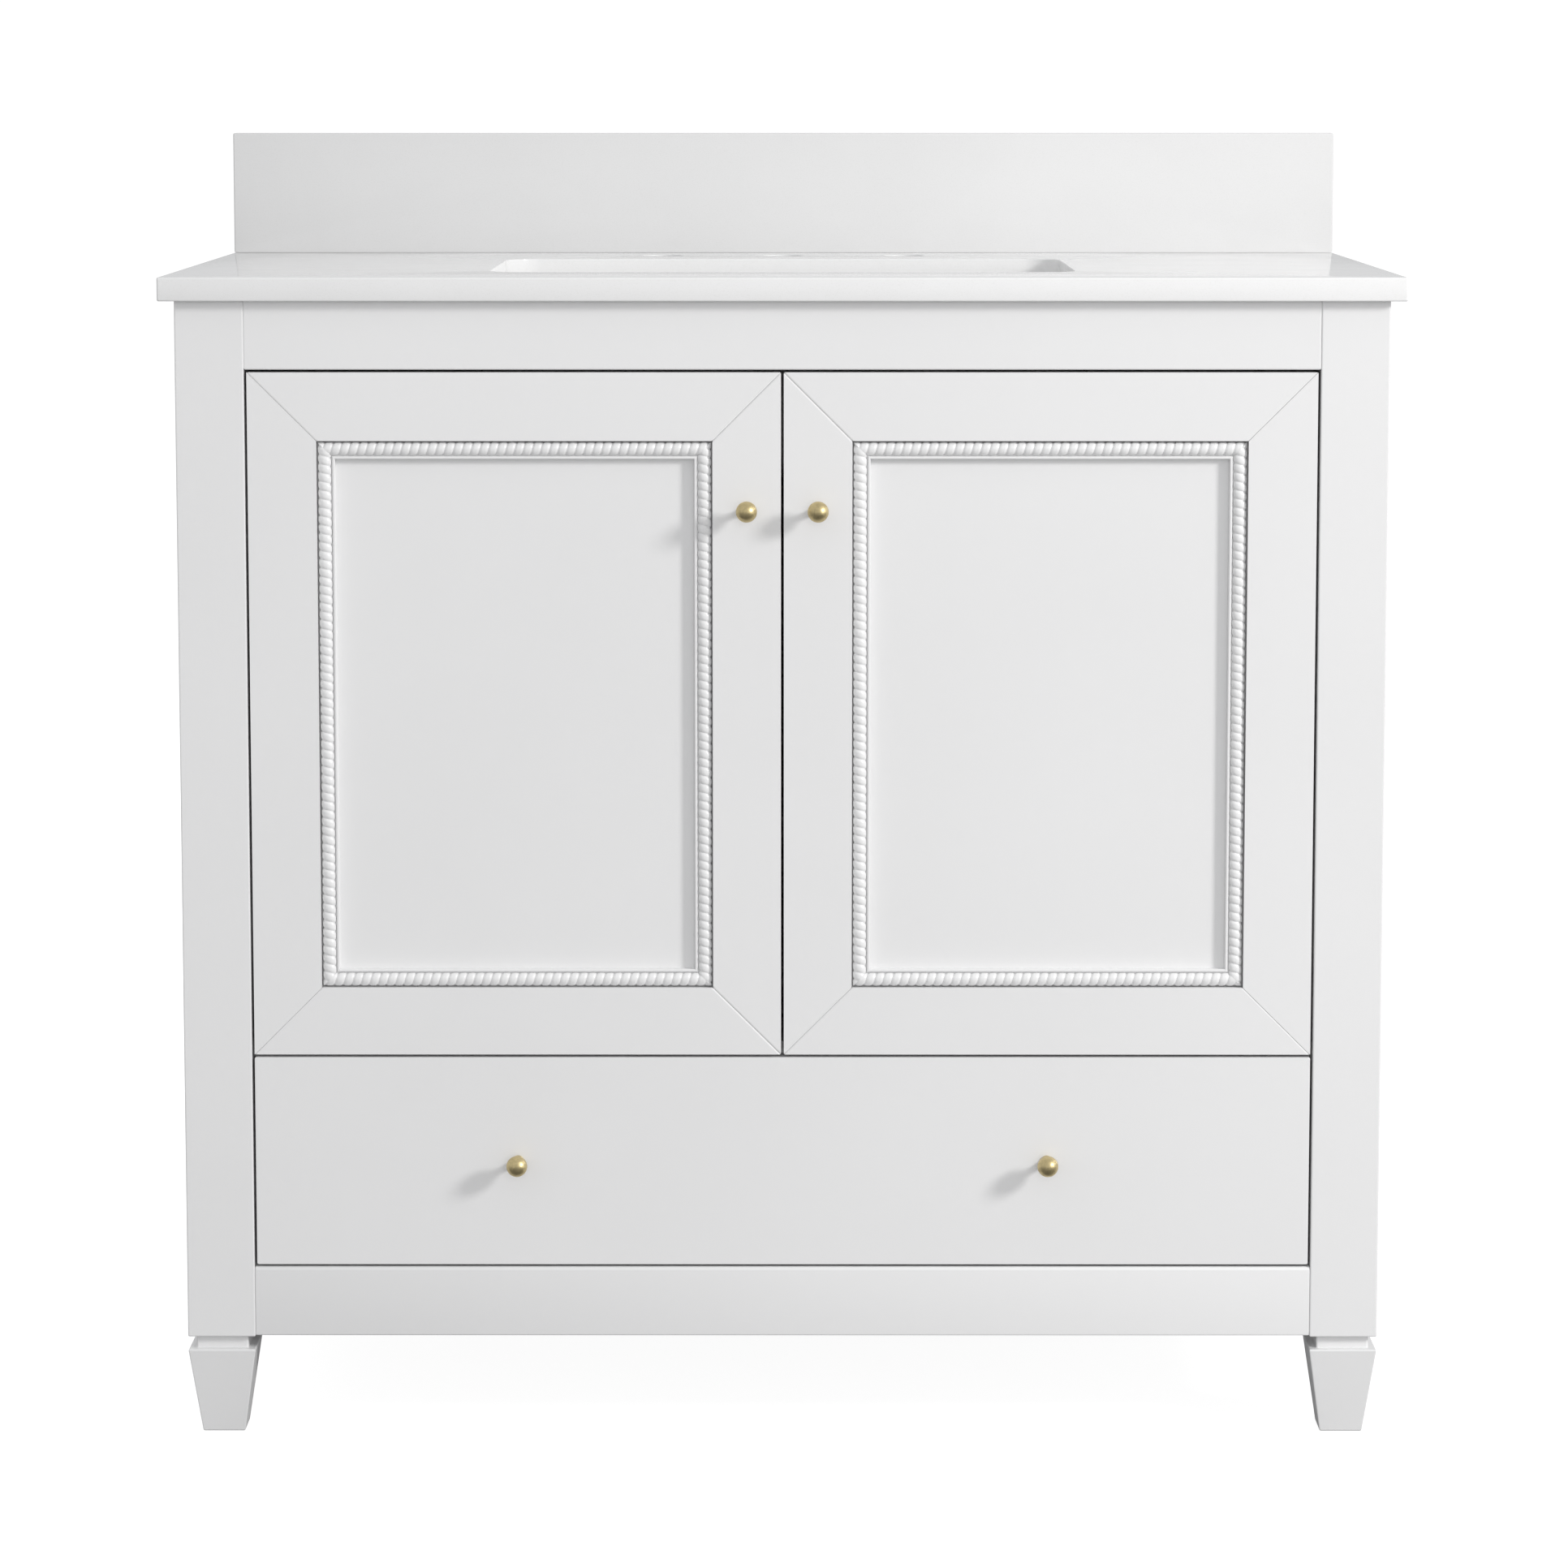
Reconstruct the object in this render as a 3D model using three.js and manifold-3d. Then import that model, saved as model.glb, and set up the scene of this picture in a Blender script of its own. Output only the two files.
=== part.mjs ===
// A bathroom vanity cabinet: painted timber carcass on turned-in legs, two inset doors on
// concealed hinges, one drawer on ball-bearing slides, and a stone top with an undermount sink.
// Millimetres, +Z up, the front faces -Y. The origin is under the middle of the whole object.
import * as THREE from "three";
import { mergeVertices } from "three/addons/utils/BufferGeometryUtils.js";
import Module from "manifold-3d";

const wasm = await Module();
wasm.setup();

// ---------------------------------------------------------------- driving dimensions
const counterWidth = 939.8;
const counterDepth = 558.8;
const counterThickness = 18;
const counterTop = 893; // height of the work surface above the floor
const splashHeight = 101.6;
const splashThickness = 19;
const sideOverhang = 11.4; // counter end to the leg's outer face
const frontOverhang = 12; // counter front to the leg's front face

const legSize = 52;
const footHeight = 67;
const footTaper = 9.8; // how far each side of the foot comes in on its way to the floor
const neckHeight = 10; // the groove between foot and post
const neckInset = 6;

const sideReveal = 5; // side panels sit this far behind the legs' outer faces
const frontReveal = 0.5; // rails, doors and drawer front sit this far behind the legs' front faces
const inset = 2; // gap round each door and round the drawer front
const boardThickness = 16;
const railThickness = 20;
const topRailHeight = 52;
const bottomRailHeight = 54;
const railBottom = 78; // underside of the carcass above the floor
const backRailHeight = 70;
const backPanelThickness = 12;
const stopGap = 1; // closed door or drawer to the edge of the deck

const frontThickness = 20; // doors and drawer front
const drawerFrontHeight = 162;
const memberWidth = 52; // stiles and rails of a door
const panelThickness = 6;
const panelDepth = 10; // the door panel's face behind the frame's face
const grooveDepth = 6;
const grooveSlack = 0.2;
const ropeGap = 0.8; // frame edge to the rope moulding
const ropeWidth = 10.5;
const ropeCrest = 1; // highest point of the rope behind the frame's face
const ropeSpring = 5.5; // where the round of the rope starts, behind the frame's face
const lipWidth = 2.1;
const lipFillet = 0.4; // flat at the foot of the rope, before the lip
const lipDepth = 3.5; // the lip's face behind the frame's face

const knobRadius = 8;
const knobLength = 27.5;
const knobStemRadius = 2.7;
const knobBaseRadius = 4.6;
const knobBaseHeight = 1.6;
const doorKnobBelowTop = 104;
const drawerKnobX = 203;

const cutoutWidth = 455;
const cutoutDepth = 283;
const cutoutFromFront = 105;
const cutoutCorner = 28;
const faucetHoleRadius = 17.5;
const faucetHoleSpacing = 101.6;
const faucetHoleFromSplash = 72.8;

const sinkReveal = 3; // how far the bowl's mouth is hidden behind the cut-out
const sinkRimWidth = 25;
const sinkRimThickness = 10;
const sinkDepth = 145;
const sinkWall = 8;
const sinkFall = 2; // the outside of the bowl runs this much lower than its inside
const drainRadius = 22.5;
const drainTail = 2; // the drain's spigot below the bowl
// Inside of the bowl under its mouth: [height above its floor, how far in, corner radius].
const sinkInside = [[60, 5, 35], [22, 10, 45], [8, 22, 52], [3, 46, 60]];

const boxWall = 12; // drawer box boards
const boxHeight = 122;
const boxLift = 14; // drawer box above the bottom panel
const boxDepth = 500;
const boxBottomThickness = 6;
const boxBottomLift = 6;

const slideWidth = 12.7; // space between drawer box and leg
const slideHeight = 45;
const slideSheet = 1.2;
const slidePlay = 0.6; // between one member and the next
const slideBallRoom = 1.3; // between the flanges of the middle and the drawer member
const slideShort = 2; // the cabinet member's flanges stop this far before the drawer member
const slideLift = 54; // slide centre above the drawer box's underside
const slideStart = 3; // front of the slide behind the drawer front's back

const hingeFromEnd = 90; // hinge centre to the door's top or bottom edge
const cupRadius = 17.3;
const cupDepth = 12;
const cupSheet = 1.2;
const cupFromEdge = 22.5; // cup centre to the door's edge
const boreSlack = 0.3;
const flangeSheet = 1.4;
const flangeHalfWidth = 13.3;
const flangeCorner = 6;
const flangeShift = 1; // the cup's flange sits this much further in than its bowl
const flangeScrewShift = 5;
const flangeScrewFromEnd = 5;
const pinRadius = 1.6;
const pinSlack = 0.3;
const bossRadius = 2.8;
const linkHalfWidth = 5;
const linkSheet = 1.8;
const earGap = 0.5; // sideways room between the link and its ears
const earSheet = 1.8;
const plateHalfHeight = 26;
const plateSheet = 2.5;
const plateFront = 10; // front and back edge of the arm's plate behind the door's back
const plateBack = 26;
const plateScrewFromEnd = 7;
const screwHoleRadius = 2.2;

// Hinge outlines seen from above: [in from the door's edge, back from the door's back].
const cupPivot = [13.2, -4];
const armPivot = [34, 9.5];
const linkPath = [cupPivot, [16.2, -6.6], [20, -7.7], [28, -7.7], [31.6, -5.4]];
linkPath.push([32.8, -0.5], [33.4, 4.5], armPivot);
const plateFace = plateSheet - inset;
const armEar = [[plateFace, 14], [plateFace, 25], [14, 25], [30, 19], [37.5, 13.5]];
armEar.push([37.5, 8], [35, 5.9], [32, 6.4], [29, 10.5], [12, 16]);
const armBridge = [[0, 23.6], [13.6, 23.6], [27, 18.5]];
const lugTop = cupPivot[1] + 2.6;
const lugFoot = cupSheet / 2 - cupDepth;
const cupLug = [
  [cupPivot[0] - 3.4, lugFoot],
  [cupPivot[0] + 6, lugFoot],
  [cupPivot[0] + 3.4, lugTop],
  [cupPivot[0] - 2.6, lugTop],
];

// Facets in each turned shape.
const holeSides = 16;
const cupSides = 48;
const faucetSides = 32;
const knobSides = 24;
const knobSteps = 12;
const ropeSteps = 8;

// ---------------------------------------------------------------- derived places
// Here y = 0 is the counter's front edge, and the finished group is moved to its origin.
const halfCounter = counterWidth / 2;
const legOuter = halfCounter - sideOverhang;
const legInner = legOuter - legSize;
const legFront = frontOverhang;
const legBack = legFront + legSize;
const rearLegFront = counterDepth - legSize;
const face = legFront + frontReveal; // front plane of rails, doors and drawer
const doorBack = face + frontThickness;
const counterBottom = counterTop - counterThickness;
const legBottom = footHeight + neckHeight;
const topRailBottom = counterBottom - topRailHeight;
const bottomRailTop = railBottom + bottomRailHeight;
const drawerBottom = bottomRailTop + inset;
const drawerTop = drawerBottom + drawerFrontHeight;
const doorBottom = drawerTop + inset;
const doorTop = topRailBottom - inset;
const deckMiddle = (drawerTop + doorBottom) / 2;
const deckBottom = deckMiddle - boardThickness / 2;
const deckTop = deckMiddle + boardThickness / 2;
const frontEdge = legInner - inset; // outer edge of doors and drawer front
const sideInner = legOuter - sideReveal - boardThickness;
const sideOuter = legOuter - sideReveal;
const backPanelFront = counterDepth - backPanelThickness;
const knobTip = face - knobLength;

// ---------------------------------------------------------------- materials
const finish = (color, roughness, metalness = 0) =>
  new THREE.MeshStandardMaterial({ color, roughness, metalness });
const paint = finish(0xecebe9, 0.45);
const timber = finish(0xc9a877, 0.6);
const stone = finish(0xf1f0ee, 0.2);
const glaze = finish(0xf7f7f5, 0.12);
const brass = finish(0xc8a866, 0.32, 1);
const steel = finish(0xb9bcc0, 0.35, 1);

const vanity = new THREE.Group();
const parts = new THREE.Group();
parts.position.y = -(counterDepth + knobTip) / 2;
vanity.add(parts);

// ---------------------------------------------------------------- geometry helpers
function indexed(geometry) {
  const bare = geometry.clone();
  bare.deleteAttribute("normal");
  bare.deleteAttribute("uv");
  return mergeVertices(bare, 1e-4);
}

function signedVolume(geometry) {
  const points = geometry.getAttribute("position");
  const [a, b, c] = [new THREE.Vector3(), new THREE.Vector3(), new THREE.Vector3()];
  let sum = 0;
  for (let i = 0; i < geometry.index.count; i += 3) {
    [a, b, c].forEach((v, k) => v.fromBufferAttribute(points, geometry.index.getX(i + k)));
    sum += a.dot(b.cross(c));
  }
  return sum / 6;
}

// The same surface with its faces pointing out, whichever way round it was drawn.
function facingOut(geometry) {
  const made = indexed(geometry);
  if (signedVolume(made) < 0) {
    const turned = made.index.array;
    for (let i = 0; i < turned.length; i += 3) {
      [turned[i + 1], turned[i + 2]] = [turned[i + 2], turned[i + 1]];
    }
  }
  made.computeVertexNormals();
  return made;
}

function mirrored(geometry) {
  return facingOut(geometry.clone().scale(-1, 1, 1));
}

function add(name, geometry, material) {
  const mesh = new THREE.Mesh(facingOut(geometry), material);
  mesh.name = name;
  parts.add(mesh);
}

// A left-hand piece and its mirror image.
function addPair(name, geometry, material) {
  add(`left_${name}`, geometry, material);
  add(`right_${name}`, mirrored(geometry), material);
}

function toSolid(geometry) {
  const made = facingOut(geometry);
  return new wasm.Manifold(
    new wasm.Mesh({
      numProp: 3,
      vertProperties: made.getAttribute("position").array,
      triVerts: new Uint32Array(made.index.array),
    }),
  );
}

function fromSolid(solid) {
  const mesh = solid.getMesh();
  const geometry = new THREE.BufferGeometry();
  geometry.setAttribute("position", new THREE.BufferAttribute(mesh.vertProperties, 3));
  geometry.setIndex(new THREE.BufferAttribute(mesh.triVerts, 1));
  return geometry;
}

function join(geometries) {
  const [first, ...rest] = geometries.map(toSolid);
  return fromSolid(rest.reduce((sum, solid) => sum.add(solid), first));
}

function cut(geometry, tools) {
  return fromSolid(tools.map(toSolid).reduce((left, tool) => left.subtract(tool), toSolid(geometry)));
}

// A skin over rings of points [x, y, z]. It closes on its first ring, or ends in two flat caps
// that are cut into triangles by the ring's outline [u, v].
function loft(rings, capOutline) {
  const plan = capOutline?.map(([u, v]) => new THREE.Vector2(u, v));
  if (plan && THREE.ShapeUtils.isClockWise(plan)) {
    return loft(rings.map((ring) => [...ring].reverse()), [...capOutline].reverse());
  }
  const size = rings[0].length;
  const faces = [];
  const spans = plan ? rings.length - 1 : rings.length;
  for (let k = 0; k < spans; k++) {
    const low = k * size;
    const high = ((k + 1) % rings.length) * size;
    for (let i = 0; i < size; i++) {
      const j = (i + 1) % size;
      faces.push(low + i, low + j, high + j, low + i, high + j, high + i);
    }
  }
  if (plan) {
    const last = (rings.length - 1) * size;
    for (const [a, b, c] of THREE.ShapeUtils.triangulateShape(plan, [])) {
      faces.push(c, b, a, last + a, last + b, last + c);
    }
  }
  const geometry = new THREE.BufferGeometry();
  geometry.setAttribute("position", new THREE.Float32BufferAttribute(rings.flat(2), 3));
  geometry.setIndex(faces);
  return geometry;
}

// A flat outline drawn out along one axis: [u, v] is [y, z] for x, [x, z] for y, [x, y] for z.
function prism(outline, axis, from, to) {
  const place = {
    x: (u, v, w) => [w, u, v],
    y: (u, v, w) => [u, w, v],
    z: (u, v, w) => [u, v, w],
  }[axis];
  const ring = (w) => outline.map(([u, v]) => place(u, v, w));
  return loft([ring(from), ring(to)], outline);
}

const rectangle = (u0, u1, v0, v1) => [
  [u0, v0],
  [u1, v0],
  [u1, v1],
  [u0, v1],
];

const board = (x0, x1, y0, y1, z0, z1) => prism(rectangle(x0, x1, y0, y1), "z", z0, z1);

function circle(centre, radius, count) {
  return Array.from({ length: count }, (_, i) => {
    const turn = (2 * Math.PI * i) / count;
    return [centre[0] + radius * Math.cos(turn), centre[1] + radius * Math.sin(turn)];
  });
}

// A rectangle with round corners about [cx, cy], the same count of points at every size.
function roundedRectangle(cx, cy, halfX, halfY, radius, cornerSteps = 6) {
  const outline = [];
  for (let quarter = 0; quarter < 4; quarter++) {
    const signX = quarter === 0 || quarter === 3 ? 1 : -1;
    const signY = quarter < 2 ? 1 : -1;
    for (let step = 0; step <= cornerSteps; step++) {
      const turn = ((quarter + step / cornerSteps) * Math.PI) / 2;
      outline.push([
        cx + signX * (halfX - radius) + radius * Math.cos(turn),
        cy + signY * (halfY - radius) + radius * Math.sin(turn),
      ]);
    }
  }
  return outline;
}

// ---------------------------------------------------------------- legs
// Square rings up the leg: [height, half width].
function leg(centreX, centreY) {
  const half = legSize / 2;
  const levels = [
    [0, half - footTaper],
    [footHeight, half],
    [footHeight, half - neckInset],
    [legBottom, half - neckInset],
    [legBottom, half],
    [counterBottom, half],
  ];
  const square = (h) => rectangle(centreX - h, centreX + h, centreY - h, centreY + h);
  const rings = levels.map(([z, h]) => square(h).map(([x, y]) => [x, y, z]));
  return loft(rings, square(half));
}

const legCentreX = -(legInner + legSize / 2);
add("front_left_leg", leg(legCentreX, legFront + legSize / 2), paint);
add("front_right_leg", leg(-legCentreX, legFront + legSize / 2), paint);
add("rear_left_leg", leg(legCentreX, rearLegFront + legSize / 2), paint);
add("rear_right_leg", leg(-legCentreX, rearLegFront + legSize / 2), paint);

// ---------------------------------------------------------------- carcass
// A shelf that fills the space between the side panels and is notched round the legs.
function notchedShelf(front, bottom, top) {
  const half = [
    [legInner, front],
    [legInner, legBack],
    [sideInner, legBack],
    [sideInner, rearLegFront],
    [legInner, rearLegFront],
    [legInner, backPanelFront],
  ];
  const outline = [...half, ...half.map(([x, y]) => [-x, y]).reverse()];
  return prism(outline, "z", bottom, top);
}

addPair(
  "side_panel",
  board(-sideOuter, -sideInner, legBack, rearLegFront, railBottom, counterBottom),
  paint,
);
add(
  "front_top_rail",
  board(-legInner, legInner, face, face + railThickness, topRailBottom, counterBottom),
  paint,
);
add(
  "front_bottom_rail",
  board(-legInner, legInner, face, face + railThickness, railBottom, bottomRailTop),
  paint,
);
add(
  "back_top_rail",
  board(
    -legInner,
    legInner,
    counterDepth - railThickness,
    counterDepth,
    counterBottom - backRailHeight,
    counterBottom,
  ),
  paint,
);
add(
  "back_panel",
  board(
    -legInner,
    legInner,
    backPanelFront,
    counterDepth,
    railBottom,
    counterBottom - backRailHeight,
  ),
  paint,
);
add("deck", notchedShelf(doorBack + stopGap, deckBottom, deckTop), paint);
add(
  "bottom_panel",
  notchedShelf(face + railThickness, bottomRailTop - boardThickness, bottomRailTop),
  paint,
);

// ---------------------------------------------------------------- countertop and backsplash
const cutoutMiddle = cutoutFromFront + cutoutDepth / 2;
const faucetY = counterDepth - splashThickness - faucetHoleFromSplash;

function countertop() {
  const toShape = (outline) => new THREE.Shape(outline.map(([x, y]) => new THREE.Vector2(x, y)));
  const shape = toShape(rectangle(-halfCounter, halfCounter, 0, counterDepth));
  shape.holes.push(
    toShape(
      roundedRectangle(0, cutoutMiddle, cutoutWidth / 2, cutoutDepth / 2, cutoutCorner, 8),
    ),
  );
  for (const side of [-1, 0, 1]) {
    shape.holes.push(toShape(circle([side * faucetHoleSpacing, faucetY], faucetHoleRadius, faucetSides)));
  }
  const geometry = new THREE.ExtrudeGeometry(shape, {
    depth: counterThickness,
    bevelEnabled: false,
  });
  return geometry.translate(0, 0, counterBottom);
}

add("countertop", countertop(), stone);
add(
  "backsplash",
  board(
    -halfCounter,
    halfCounter,
    counterDepth - splashThickness,
    counterDepth,
    counterTop,
    counterTop + splashHeight,
  ),
  stone,
);

// ---------------------------------------------------------------- sink
// Rings run down the outside of the bowl, through the drain and back up the inside.
function sinkBowl() {
  const mouthX = cutoutWidth / 2 + sinkReveal;
  const mouthY = cutoutDepth / 2 + sinkReveal;
  const mouthCorner = cutoutCorner + sinkReveal;
  const floor = counterBottom - sinkDepth;
  const underside = floor - sinkWall;
  const rimBottom = counterBottom - sinkRimThickness;
  const ring = (x, y, radius, z) =>
    roundedRectangle(0, cutoutMiddle, x, y, radius).map(([px, py]) => [px, py, z]);
  const drainFlat = 0.5; // a hair of straight side keeps the drain's points apart
  const drain = (z) => ring(drainRadius, drainRadius, drainRadius - drainFlat, z);
  const mouth = (grow, z) => ring(mouthX + grow, mouthY + grow, mouthCorner + grow, z);
  const outside = sinkInside.map(([up, come, radius], i) => {
    const z = i < sinkInside.length - 1 ? floor + up - sinkFall : underside;
    return ring(mouthX - come + sinkWall, mouthY - come + sinkWall, radius + sinkWall, z);
  });
  const inside = sinkInside.map(([up, come, radius]) =>
    ring(mouthX - come, mouthY - come, radius, floor + up),
  );
  return loft([
    mouth(sinkRimWidth, counterBottom),
    mouth(sinkRimWidth, rimBottom),
    mouth(sinkWall, rimBottom),
    ...outside,
    drain(underside - drainTail),
    drain(floor),
    ...inside.reverse(),
    mouth(0, counterBottom),
  ]);
}

add("sink_bowl", sinkBowl(), glaze);

// ---------------------------------------------------------------- doors
// The left door's outline. Corner k runs anticlockwise from the hinge side's bottom corner,
// seen from the front, and `inward` points from it into the door.
const doorLeft = -frontEdge;
const doorRight = -inset / 2;
const doorCorners = [
  { x: doorLeft, z: doorBottom, inward: [1, 1] },
  { x: doorRight, z: doorBottom, inward: [-1, 1] },
  { x: doorRight, z: doorTop, inward: [-1, -1] },
  { x: doorLeft, z: doorTop, inward: [1, -1] },
];

// The mitre at corner k of a section [in from the door's edge, back from its face].
const mitre = (k, section) => {
  const { x, z, inward } = doorCorners[k % 4];
  return section.map(([w, d]) => [x + inward[0] * w, face + d, z + inward[1] * w]);
};

const grooveFloor = memberWidth - grooveDepth;
const grooveFront = panelDepth - grooveSlack;
const grooveBack = panelDepth + panelThickness + grooveSlack;
const memberSection = [
  [0, 0],
  [memberWidth, 0],
  [memberWidth, grooveFront],
  [grooveFloor, grooveFront],
  [grooveFloor, grooveBack],
  [memberWidth, grooveBack],
  [memberWidth, frontThickness],
  [0, frontThickness],
];
const doorMember = (k) => loft([mitre(k, memberSection), mitre(k + 1, memberSection)], memberSection);

function doorPanel() {
  const edge = grooveFloor + 2 * grooveSlack;
  return board(
    doorLeft + edge,
    doorRight - edge,
    face + panelDepth,
    face + panelDepth + panelThickness,
    doorBottom + edge,
    doorTop - edge,
  );
}

function ropeMoulding() {
  const start = memberWidth + ropeGap;
  const radius = ropeWidth / 2;
  const round = Array.from({ length: ropeSteps + 1 }, (_, i) => {
    const turn = (Math.PI * i) / ropeSteps;
    const depth = ropeSpring - (ropeSpring - ropeCrest) * Math.sin(turn);
    return [start + radius - radius * Math.cos(turn), depth];
  });
  const lipStart = start + ropeWidth + lipFillet;
  const section = [
    [start, panelDepth],
    ...round,
    [lipStart, ropeSpring],
    [lipStart, lipDepth],
    [lipStart + lipWidth, lipDepth],
    [lipStart + lipWidth, panelDepth],
  ];
  return loft([0, 1, 2, 3].map((k) => mitre(k, section)));
}

// ---------------------------------------------------------------- concealed hinges
const hingeHeights = { lower: doorBottom + hingeFromEnd, upper: doorTop - hingeFromEnd };
const localX = (x) => -frontEdge + x; // in from the left door's edge
const localY = (y) => doorBack + y; // back from the door's back
const cupCentreX = localX(cupFromEdge);

const barZ = (outline, half, z) => prism(outline, "z", z - half, z + half);
const pinBar = ([x, y], radius, half, z) =>
  barZ(circle([localX(x), localY(y)], radius, holeSides), half, z);

// A strip of sheet bent along a path, seen from above.
function strip(path, sheet) {
  const sides = path.map((point, i) => {
    const before = path[Math.max(i - 1, 0)];
    const after = path[Math.min(i + 1, path.length - 1)];
    const unit = ([ax, ay], [bx, by]) => {
      const length = Math.hypot(bx - ax, by - ay);
      return length ? [(bx - ax) / length, (by - ay) / length] : [0, 0];
    };
    const [one, two] = [unit(before, point), unit(point, after)];
    const along = unit([0, 0], [one[0] + two[0], one[1] + two[1]]);
    const lead = one[0] || one[1] ? one : two;
    const reach = sheet / 2 / (along[0] * lead[0] + along[1] * lead[1]);
    return { point, offset: [-along[1] * reach, along[0] * reach] };
  });
  const shifted = (sign) =>
    sides.map(({ point, offset }) => [
      localX(point[0] + sign * offset[0]),
      localY(point[1] + sign * offset[1]),
    ]);
  return [...shifted(1), ...shifted(-1).reverse()];
}

const earStart = linkHalfWidth + earGap;
const earEnd = earStart + earSheet;

// A pair of flat ears either side of the link, with a hole for its pin.
function ears(outline, pivot, z) {
  const plan = outline.map(([x, y]) => [localX(x), localY(y)]);
  return [-1, 1].map((side) => {
    const middle = z + (side * (earStart + earEnd)) / 2;
    return cut(barZ(plan, earSheet / 2, middle), [
      pinBar(pivot, pinRadius + pinSlack, earSheet, middle),
    ]);
  });
}

// The link starts at the cup's pin, dips round the door's back edge and ends at the arm's pin.
function hingeLink(z) {
  return join([
    barZ(strip(linkPath, linkSheet), linkHalfWidth, z),
    ...[cupPivot, armPivot].flatMap((pivot) => [
      pinBar(pivot, bossRadius, linkHalfWidth, z),
      pinBar(pivot, pinRadius, earEnd + earGap, z),
    ]),
  ]);
}

function hingeArm(z) {
  const plate = prism(
    rectangle(localY(plateFront), localY(plateBack), z - plateHalfHeight, z + plateHalfHeight),
    "x",
    -legInner,
    localX(plateFace),
  );
  const screwHoles = [-1, 1].map((side) =>
    prism(
      circle(
        [localY((plateFront + plateBack) / 2), z + side * (plateHalfHeight - plateScrewFromEnd)],
        screwHoleRadius,
        holeSides,
      ),
      "x",
      -legInner - 1,
      localX(plateFace + 1),
    ),
  );
  return join([
    cut(plate, screwHoles),
    barZ(strip(armBridge, linkSheet), earEnd, z),
    ...ears(armEar, armPivot, z),
  ]);
}

// A round plug along Y about the cup's centre.
const plug = (radius, y0, y1, z) => prism(circle([cupCentreX, z], radius, cupSides), "y", y0, y1);

function hingeCup(z) {
  const bottom = doorBack - cupDepth;
  const top = doorBack + flangeSheet;
  const flange = prism(
    roundedRectangle(cupCentreX + flangeShift, z, flangeHalfWidth, plateHalfHeight, flangeCorner),
    "y",
    doorBack,
    top,
  );
  const shell = join([plug(cupRadius, bottom, doorBack, z), flange]);
  const hollow = plug(cupRadius - cupSheet, bottom + cupSheet, top + 1, z);
  const screwHoles = [-1, 1].map((side) =>
    prism(
      circle(
        [cupCentreX + flangeScrewShift, z + side * (plateHalfHeight - flangeScrewFromEnd)],
        screwHoleRadius,
        holeSides,
      ),
      "y",
      doorBack - 1,
      top + 1,
    ),
  );
  return join([cut(shell, [hollow, ...screwHoles]), ...ears(cupLug, cupPivot, z)]);
}

const hingeBore = (z) =>
  plug(cupRadius + boreSlack, doorBack - cupDepth - boreSlack, doorBack + 1, z);

for (const [level, z] of Object.entries(hingeHeights)) {
  addPair(`${level}_hinge_arm`, hingeArm(z), steel);
  addPair(`${level}_hinge_link`, hingeLink(z), steel);
  addPair(`${level}_hinge_cup`, hingeCup(z), steel);
}

addPair("door_bottom_rail", doorMember(0), paint);
addPair("door_meeting_stile", doorMember(1), paint);
addPair("door_top_rail", doorMember(2), paint);
addPair("door_hinge_stile", cut(doorMember(3), Object.values(hingeHeights).map(hingeBore)), paint);
addPair("door_panel", doorPanel(), paint);
addPair("rope_moulding", ropeMoulding(), paint);

// ---------------------------------------------------------------- knobs
function knob(x, z) {
  const ballCentre = knobLength - knobRadius;
  const profile = [
    [0, 0],
    [knobBaseRadius, 0],
    [knobBaseRadius, knobBaseHeight],
    [knobStemRadius, knobBaseHeight + (knobBaseRadius - knobStemRadius)],
  ];
  const first = Math.asin(knobStemRadius / knobRadius);
  for (let i = 0; i < knobSteps; i++) {
    const turn = first + ((Math.PI - first) * i) / knobSteps;
    profile.push([knobRadius * Math.sin(turn), ballCentre - knobRadius * Math.cos(turn)]);
  }
  profile.push([0, knobLength]);
  const geometry = new THREE.LatheGeometry(
    profile.map(([r, h]) => new THREE.Vector2(r, h)),
    knobSides,
  );
  return geometry.rotateX(Math.PI).translate(x, face, z);
}

const doorKnobX = inset / 2 + memberWidth / 2;
addPair("door_knob", knob(-doorKnobX, doorTop - doorKnobBelowTop), brass);
addPair("drawer_knob", knob(-drawerKnobX, (drawerBottom + drawerTop) / 2), brass);

// ---------------------------------------------------------------- drawer
const boxBottom = bottomRailTop + boxLift;
const boxTop = boxBottom + boxHeight;
const boxOuter = legInner - slideWidth;
const boxInner = boxOuter - boxWall;
const boxBack = doorBack + boxDepth;
add(
  "drawer_front",
  board(-frontEdge, frontEdge, face, doorBack, drawerBottom, drawerTop),
  paint,
);
add(
  "drawer_box_front",
  board(-boxInner, boxInner, doorBack, doorBack + boxWall, boxBottom, boxTop),
  timber,
);
addPair("drawer_side", board(-boxOuter, -boxInner, doorBack, boxBack, boxBottom, boxTop), timber);
add("drawer_back", board(-boxInner, boxInner, boxBack - boxWall, boxBack, boxBottom, boxTop), timber);
add(
  "drawer_bottom",
  board(
    -boxInner,
    boxInner,
    doorBack + boxWall,
    boxBack - boxWall,
    boxBottom + boxBottomLift,
    boxBottom + boxBottomLift + boxBottomThickness,
  ),
  timber,
);

// ---------------------------------------------------------------- drawer slides
// Channels nested in one another, [from the leg, height]: a web with two flanges.
function channel(web, lip, height) {
  const inner = web + Math.sign(lip - web) * slideSheet;
  const half = height / 2;
  return [
    [web, -half],
    [lip, -half],
    [lip, slideSheet - half],
    [inner, slideSheet - half],
    [inner, half - slideSheet],
    [lip, half - slideSheet],
    [lip, half],
    [web, half],
  ];
}

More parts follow.
